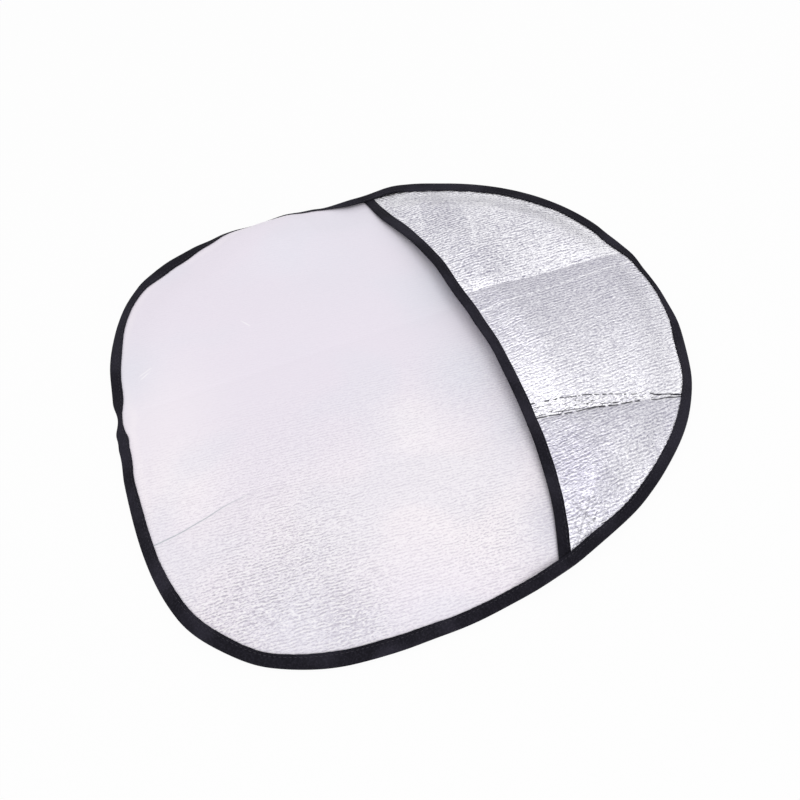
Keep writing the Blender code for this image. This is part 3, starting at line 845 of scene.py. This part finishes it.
def pocket_relief(place, inward):
    """Crinkles, creases and wrinkles of the pocket's foil."""
    far, near = fold_lines(place.imag)
    wander = bumps(place, *POCKET_CREASE_WANDER)
    relief = sum(bumps(place, *layer) for layer in POCKET_BUMPS)
    for fold in (far, near):
        relief -= POCKET_CREASE_DEPTH * bell(place.real - fold + wander, POCKET_CREASE_WIDTH)
    relief += bumps(place, *CRUMPLES) * crumpled_strip(place)
    for start, end, width, height in POCKET_WRINKLES:
        relief += height * wrinkle(place, start, end, width)
    clear = np.minimum(inward, mouth_distance(place))
    return relief * smooth((clear - SEAM_WIDTH) / RELIEF_RUN)


def pocket_marks(place):
    """How light the foil is painted, standing in for its reflections, where it is crumpled, and how
    rippled the pearly film below is.
    """
    far, near = fold_lines(place.imag)
    past_far, past_near = place.real - far, place.real - near
    clear = seam_distance(place) - TAPE_SHOWING
    wedge = FAR_WEDGE_LEAST + rise(place.imag, *FAR_WEDGE_RISE)
    highlight_streaks = sum(wrinkle(place, start, end, width) for start, end, width in FOIL_HIGHLIGHT_STREAKS)
    far_zone = FAR_TONE + rise(past_far, *FAR_TONE_RISE) + rise(past_far, -wedge, *FAR_WEDGE_TONE)
    far_zone += rise(abs(place - FAR_PATCH_MIDDLE), *FAR_PATCH) + FAR_STREAK_HIGHLIGHT * highlight_streaks
    far_zone += sum(rise(clear, *row) for row in FAR_MARGIN_RISES)
    far_zone += sum(spot(place, *row) for row in FAR_TONE_SPOTS)
    middle_zone = MIDDLE_TONE + rise(past_far, *MIDDLE_TONE_RISE) + rise(clear, *MIDDLE_MARGIN_RISE)
    near_zone = NEAR_TONE + rise(past_near, *NEAR_TONE_RISE)
    near_zone += sum(spot(place, *row) for row in NEAR_TONE_SPOTS)
    crumpled = crumpled_strip(place)
    none = 0 * crumpled
    return {
        "tone": np.where(past_near < 0, middle_zone, near_zone) + CRUMPLED_TONE * crumpled,
        "far_tone": far_zone,
        "creased": np.clip(crumpled + spot(place, *WRINKLED_CORNER), 0, 1),
        "cracked": none + 1,
        "ripple": none + POCKET_LINING_RIPPLE,
        "pale": none, "cool": none, "dull": none,
    }


def pocket_heights(place, upper):
    """Heights of the pocket's lower or upper face above the floor."""
    inward = seam_distance(place)
    lower = panel_rise(place, inward) + panel_faces(inward, True) + pocket_rise(place, inward)
    swell = foam_swell(inward) * foam_swell(mouth_distance(place))
    thickness = SEAM_THICKNESS + (FOAM_THICKNESS - SEAM_THICKNESS) * swell
    return lower + np.where(upper, thickness + pocket_relief(place, inward), 0)


def pocket_span(angle):
    """Distances from the widest line's middle to the pocket's cut edge and to its sewn edge."""
    direction = np.exp(1j * angle)

    def still_to_go(radius):
        return SHEET_SETBACK - mouth_distance(MIDDLE + radius * direction)

    cut = solve(still_to_go, 0 * angle, 0 * angle + SHADE_LENGTH)
    return cut, abs(outline(angle)[0] - MIDDLE) - SHEET_SETBACK


def pocket_tip_turn(side):
    """Turn from the middle of the round end to the pocket's tip, at +X where side is 1, or at -X."""

    def room_left(turn):
        cut, sewn = pocket_span(math.pi / 2 - side * turn)
        return sewn - cut - POCKET_TIP_WIDTH

    return solve(room_left, 0.0, math.pi / 2)


near_turn, far_turn = pocket_tip_turn(1), pocket_tip_turn(-1)


def pocket_points(station, row, upper):
    """Points of the pocket's lower and upper faces."""
    share = 2 * station / POCKET_STATIONS - 1
    share = (share + np.sin(math.pi / 2 * share)) / 2
    angle = math.pi / 2 + share * np.where(share > 0, far_turn, near_turn)
    cut, sewn = pocket_span(angle)
    band = np.minimum(POCKET_MARGIN - SHEET_SETBACK, (sewn - cut) / 3)
    from_mouth = band * row / POCKET_MARGIN_ROWS
    from_edge = band * (POCKET_ROWS - row) / POCKET_MARGIN_ROWS
    between = (row - POCKET_MARGIN_ROWS) / POCKET_MIDDLE_ROWS
    radius = cut + band + (sewn - cut - 2 * band) * between
    radius = np.where(row <= POCKET_MARGIN_ROWS, cut + from_mouth, radius)
    radius = np.where(POCKET_ROWS - row <= POCKET_MARGIN_ROWS, sewn - from_edge, radius)
    place = MIDDLE + radius * np.exp(1j * angle)
    return place, pocket_heights(place, upper)


pocket_shape = sheet_shape(POCKET_STATIONS, POCKET_ROWS, pocket_points, pocket_marks)
linings = foil, pearl
pocket_panel = make_piece("pocket_panel_film", pocket_shape, linings, "pocket_panel")


# Mouth binding
#
# Black woven tape folded round the pocket's cut edge and sewn through. Its ends run in under the edge
# tape, which was sewn on last.

MOUTH_STATIONS = 360
MOUTH_TAPE_TUCK = 0.003  # how far in from the shade's edge the tape ends
MOUTH_TAPE_WIDTHS = (  # middle and half length across the shade, share by which the tape is wider
    (-0.145, 0.028, 0.11), (0.030, 0.030, -0.08),
)
MOUTH_SEWN_HEIGHT = SEAM_THICKNESS + 2 * SEW_GAP + TAPE_THICKNESS
MOUTH_WOBBLE = (1.0, 4.0, 0.0004)  # of the free edges
MOUTH_WOBBLE_STEP = 0.07  # of a bump, from station to station
FREE_EDGE_SHARE = 0.9  # of the tape's width, past which it wobbles
FOLD_STEPS = 8
LEAF_SHARES = (1.0, 0.88, 0.81, 0.74, 0.67, 0.45, 0.22)  # places across a leaf, from its free edge
STITCH_SHARE = 0.74
STITCH_INSET = 0.0004
STITCH_GROOVE = 0.00018
STITCH_GROOVE_SHARE = 0.07  # of a leaf's width
TAPE_BLACK = (0.0042, 0.0036, 0.0076, 1.0)
TAPE_GREY = (0.0285, 0.0262, 0.0395, 1.0)
WEAVE_RIBS = 1500  # to the metre, along the tape
WEAVE_THREADS = 1050  # across it
UV_STEP = 0.0008  # across the tape, from one point of its section to the next
STITCH_PITCH = 0.0034
STITCH_SIZE = (0.00125, 0.00024, 0.00020)
STITCH_END_GAP = 0.008
STITCH_LIFT = HALF_TAPE - 0.6 * STITCH_GROOVE
MOUTH_LINE_POINTS = 600  # on which a row of stitches is laid


def fold_section(showing, top):
    """A folded tape's section, from its lower leaf to its upper one: distances in, and heights."""
    start = HALF_TAPE + FOLD_DEPTH
    turn = math.pi * np.arange(FOLD_STEPS + 1) / FOLD_STEPS
    groove = [STITCH_GROOVE * bell(share - STITCH_SHARE, STITCH_GROOVE_SHARE) for share in LEAF_SHARES]
    inwards = [start + (showing - start) * share for share in LEAF_SHARES]
    heights = [0 * top + dip for dip in groove]
    for bow, share in zip(np.sin(turn), (1 - np.cos(turn)) / 2):
        inwards.append(start - FOLD_DEPTH * bow + 0 * showing)
        heights.append(top * share)
    inwards += [start + (showing - start) * share for share in LEAF_SHARES[::-1]]
    heights += [top - dip for dip in groove[::-1]]
    return np.array(inwards), np.array(heights)


def black_tape():
    """Matt polyester tape with a fine rib across it."""
    finish = Finish("black_tape", {"Roughness": 0.80, "Specular IOR Level": 0.16})
    uv = finish.add("ShaderNodeTexCoord", {}, {}, "UV")
    along = finish.add("ShaderNodeSeparateXYZ", {}, {0: uv}, "X")
    across = finish.add("ShaderNodeSeparateXYZ", {}, {0: uv}, "Y")
    ribs = (along * (2 * math.pi * WEAVE_RIBS)).maths("SINE")
    threads = (across * (2 * math.pi * WEAVE_THREADS)).maths("SINE")
    fluff = finish.grain(900, 900, detail=3.0)
    worn = finish.grain(24, 24, detail=2.0)
    greyed = fluff.ramp(0.40, 0.75) * 0.5 + worn.ramp(0.40, 0.62) * 0.5
    weave = finish.bump(ribs * 0.5 + threads * 0.3 + fluff, 0.00012)
    finish.set({"Base Color": finish.mix(greyed, TAPE_BLACK, TAPE_GREY), "Normal": weave})
    return finish


def sewing_thread():
    """Black polyester thread, a little glossier than the tape, with a fine twist."""
    finish = Finish("sewing_thread", {"Roughness": 0.50, "Specular IOR Level": 0.40})
    twist = finish.grain(2600, 2600, detail=1.0)
    tint = finish.mix(twist.ramp(0.35, 0.65), TAPE_BLACK, TAPE_GREY)
    finish.set({"Base Color": tint, "Normal": finish.bump(twist, 0.0001)})
    return finish


def tape_shape(stations, section_points, points, length):
    """A strip bent round an edge. Its UV map is in metres along and across the tape."""
    shape = step_grid(stations, section_points - 1)
    uv = shape.loops.layers.uv.new("along_tape")
    for face in shape.faces:
        for loop in face.loops:
            station, step = loop.vert.co.xy
            loop[uv].uv = (length * station / stations, UV_STEP * step)
    put_in_place(shape, points)
    bmesh.ops.remove_doubles(shape, verts=shape.verts[:], dist=1e-6)
    return shape


def thicken(tape):
    """Give a strip of tape its thickness."""
    thick = tape.modifiers.new("tape_thickness", "SOLIDIFY")
    thick.thickness = TAPE_THICKNESS
    thick.offset = 0
    thick.use_even_offset = True


def sew(name, line, thread):
    """A row of stitches along a line of points, which are places and heights a small step apart."""
    place, height = line
    points = np.column_stack((place.real + CENTRING, place.imag, height))
    steps = np.linalg.norm(np.diff(points, axis=0), axis=1)
    gone = np.concatenate(([0], np.cumsum(steps)))
    count = int(gone[-1] / STITCH_PITCH)
    middles = (np.arange(count) + 0.5) * gone[-1] / count
    half = STITCH_SIZE[0]

    def along(distance):
        return np.column_stack([np.interp(distance, gone, points[:, axis]) for axis in range(3)])

    pattern = bmesh.new()
    size = Matrix.Diagonal((*STITCH_SIZE, 1))
    bmesh.ops.create_uvsphere(pattern, u_segments=6, v_segments=4, radius=1, matrix=size)
    shape = bmesh.new()
    for middle, start, end in zip(along(middles), along(middles - half), along(middles + half)):
        turn = Vector(end - start).to_track_quat("X", "Z").to_matrix().to_4x4()
        stitch = bpy.data.meshes.new("stitch")
        pattern.to_mesh(stitch)
        stitch.transform(Matrix.Translation(middle) @ turn)
        shape.from_mesh(stitch)
        bpy.data.meshes.remove(stitch)
    pattern.free()
    return make_piece(name, shape, (thread,), None)


def mouth_tape_end(inward, side):
    """How far across the shade a line of the mouth tape runs before it meets the edge seam."""

    def room_left(reach):
        line, into = mouth_line(side * reach)
        return seam_distance(line + into * inward) - MOUTH_TAPE_TUCK

    return solve(room_left, 0 * inward, 0 * inward + HALF_WIDTH)


def mouth_tape_places(x, inward, share, outer=0.0):
    """Places and heights on the mouth tape, at a share of the way from lower to upper leaf."""
    line, into = mouth_line(x)
    place = line + into * inward
    lower = pocket_heights(place, False) - SEW_GAP - HALF_TAPE - outer
    upper = pocket_heights(place, True) + SEW_GAP + HALF_TAPE + outer
    return place, lower + (upper - lower) * share


mouth_inwards, mouth_shares = fold_section(np.array(TAPE_SHOWING), np.array(MOUTH_SEWN_HEIGHT))
mouth_shares = mouth_shares / MOUTH_SEWN_HEIGHT
mouth_near_ends = mouth_tape_end(mouth_inwards, 1)
mouth_far_ends = mouth_tape_end(mouth_inwards, -1)


def mouth_tape_points(station, step, _):
    """Points of the mouth tape's middle surface."""
    step = step.astype(int)
    turn = np.sin(math.pi * (station / MOUTH_STATIONS - 0.5))
    x = turn * np.where(turn > 0, mouth_near_ends[step], mouth_far_ends[step])
    inward = mouth_inwards[step]
    free_edge = inward > TAPE_SHOWING * FREE_EDGE_SHARE
    wobble = bumps(station * MOUTH_WOBBLE_STEP + 0j, *MOUTH_WOBBLE) * free_edge
    wider = 1 + sum(share * bell(x - middle, half) for middle, half, share in MOUTH_TAPE_WIDTHS)
    return mouth_tape_places(x, inward * wider + wobble, mouth_shares[step])


tape, thread = black_tape(), sewing_thread()
section_points = len(mouth_inwards)
mouth_shape = tape_shape(MOUTH_STATIONS, section_points, mouth_tape_points, 2 * HALF_WIDTH)
mouth_binding = make_piece("mouth_tape", mouth_shape, (tape,), "mouth_binding")
thicken(mouth_binding)

stitch_x = np.linspace(
    STITCH_END_GAP - mouth_far_ends.min(), mouth_near_ends.min() - STITCH_END_GAP, MOUTH_LINE_POINTS
)
stitch_in = TAPE_SHOWING * STITCH_SHARE + STITCH_INSET
mouth_stitches = [
    sew("mouth_stitches_" + side, mouth_tape_places(stitch_x, stitch_in, share, STITCH_LIFT), thread)
    for side, share in (("below", 0.0), ("above", 1.0))
]


# Perimeter binding
#
# The same tape folded round the whole edge and sewn through both sheets. It climbs over the ends of the
# mouth tape. Where the edge has rolled down, little of it shows from above.

EDGE_STATIONS = 900
SHEET_STEP = SEAM_THICKNESS + SEW_GAP
CLIMB_MARGIN = 0.010  # how far beside the mouth tape the edge tape lies at its full height
CLIMB_RUN = 0.028
EDGE_WOBBLE = (0.12, 5.0, 0.0004)  # of the free edges
SERRATION = (0.016, 4.0, 0.0002)
SERRATED_STRETCH = (132, 42)  # where the free edges are rougher
SERRATED_MORE = 4
EDGE_LINE_POINTS = 2400


def sewn_height(angle):
    """Height of everything that the edge tape wraps at an angle."""
    edge, outward = outline(angle)
    depth = mouth_distance(edge - outward * TAPE_SHOWING / 2)
    one_sheet = TAPE_STEP + SEAM_THICKNESS
    two_sheets = one_sheet + SHEET_STEP
    with_mouth_tape = two_sheets + 2 * TAPE_STEP
    climb = smooth((depth + CLIMB_MARGIN + CLIMB_RUN) / CLIMB_RUN)
    drop = smooth((depth - TAPE_SHOWING - CLIMB_MARGIN) / CLIMB_RUN)
    return one_sheet + (with_mouth_tape - one_sheet) * climb - (with_mouth_tape - two_sheets) * drop


def edge_tape_points(station, step, _):
    """Points of the edge tape's middle surface."""
    step = step.astype(int)
    angle = 2 * math.pi * (station % EDGE_STATIONS) / EDGE_STATIONS
    around = np.exp(1j * angle)
    rougher = 1 + SERRATED_MORE * window(angle, *SERRATED_STRETCH)
    wobble = bumps(around, *SERRATION) * rougher + bumps(around, *EDGE_WOBBLE)
    inwards, heights = fold_section(tape_showing(angle) + wobble, sewn_height(angle) + SEW_GAP)
    points = np.arange(len(step))
    return edge_band_place(angle, inwards[step, points], heights[step, points] + HALF_TAPE)


edge_shape = tape_shape(EDGE_STATIONS, section_points, edge_tape_points, 3 * SHADE_LENGTH)
perimeter_binding = make_piece("edge_tape", edge_shape, (tape,), "perimeter_binding")
thicken(perimeter_binding)

stitch_angle = np.linspace(0, 2 * math.pi, EDGE_LINE_POINTS)
stitch_in = tape_showing(stitch_angle) * STITCH_SHARE + STITCH_INSET
edge_top = sewn_height(stitch_angle) + SEW_GAP + HALF_TAPE + STITCH_LIFT
edge_stitches = [
    sew("edge_stitches_" + side, edge_band_place(stitch_angle, stitch_in, height), thread)
    for side, height in (("below", HALF_TAPE - STITCH_LIFT), ("above", edge_top))
]


# Floor and light
#
# A plain white floor and background, a broad soft lamp overhead and the studio's white all round.

FLOOR_SIZE = 8.0
FLOOR_DROP = 0.0004
FLOOR_COLOUR = (0.88, 0.88, 0.88, 1.0)
FLOOR_OWN_WHITE = 0.92  # share of plain white in what the camera sees
WORLD_LIGHT = 0.72
LAMP_SIZE = 2.6
LAMP_POWER = 30.0
LAMP_PLACE = Vector((1.3, 0.2, 2.7))


def seen_by(nodes, *rays):
    """1 for rays of these kinds and 0 for others."""
    kinds = [nodes.add("ShaderNodeLightPath", {}, {}, f"Is {ray} Ray") for ray in rays]
    return sum(kinds[1:], start=kinds[0])


def plain_floor():
    """White floor. Seen directly it is nearly its own white, but keeps a soft shadow."""
    material = bpy.data.materials.new("floor")
    nodes = NodeTree(material, "Principled BSDF")
    nodes.set({"Base Color": FLOOR_COLOUR, "Roughness": 0.9, "Specular IOR Level": 0.0})
    white = nodes.add("ShaderNodeEmission", {}, {})
    share = seen_by(nodes, "Camera", "Glossy") * FLOOR_OWN_WHITE
    lit = Signal(nodes, nodes.shader.outputs[0])
    surface = nodes.add("ShaderNodeMixShader", {}, {0: share, 1: lit, 2: white})
    nodes.connect(nodes.tree.nodes["Material Output"].inputs["Surface"], surface)
    return material


floor_shape = bmesh.new()
bmesh.ops.create_grid(floor_shape, x_segments=1, y_segments=1, size=FLOOR_SIZE / 2)
bmesh.ops.translate(floor_shape, verts=floor_shape.verts[:], vec=(0, 0, -FLOOR_DROP))
floor = add_mesh("floor", floor_shape, [plain_floor()])

lamp_light = bpy.data.lights.new("overhead_lamp", "AREA")
lamp_light.shape = "SQUARE"
lamp_light.size = LAMP_SIZE
lamp_light.energy = LAMP_POWER
lamp = add_object("overhead_lamp", lamp_light)
lamp.location = LAMP_PLACE
lamp.rotation_euler = (-LAMP_PLACE).to_track_quat("-Z", "Y").to_euler()

world = bpy.data.worlds.new("studio")
bpy.context.scene.world = world
sky = NodeTree(world, "Background")
whitened = seen_by(sky, "Camera", "Glossy", "Transmission") * (1 - WORLD_LIGHT) + WORLD_LIGHT
sky.set({"Color": (1, 1, 1, 1), "Strength": whitened.maths("MINIMUM", 1)})

bpy.context.scene.view_settings.view_transform = "Standard"
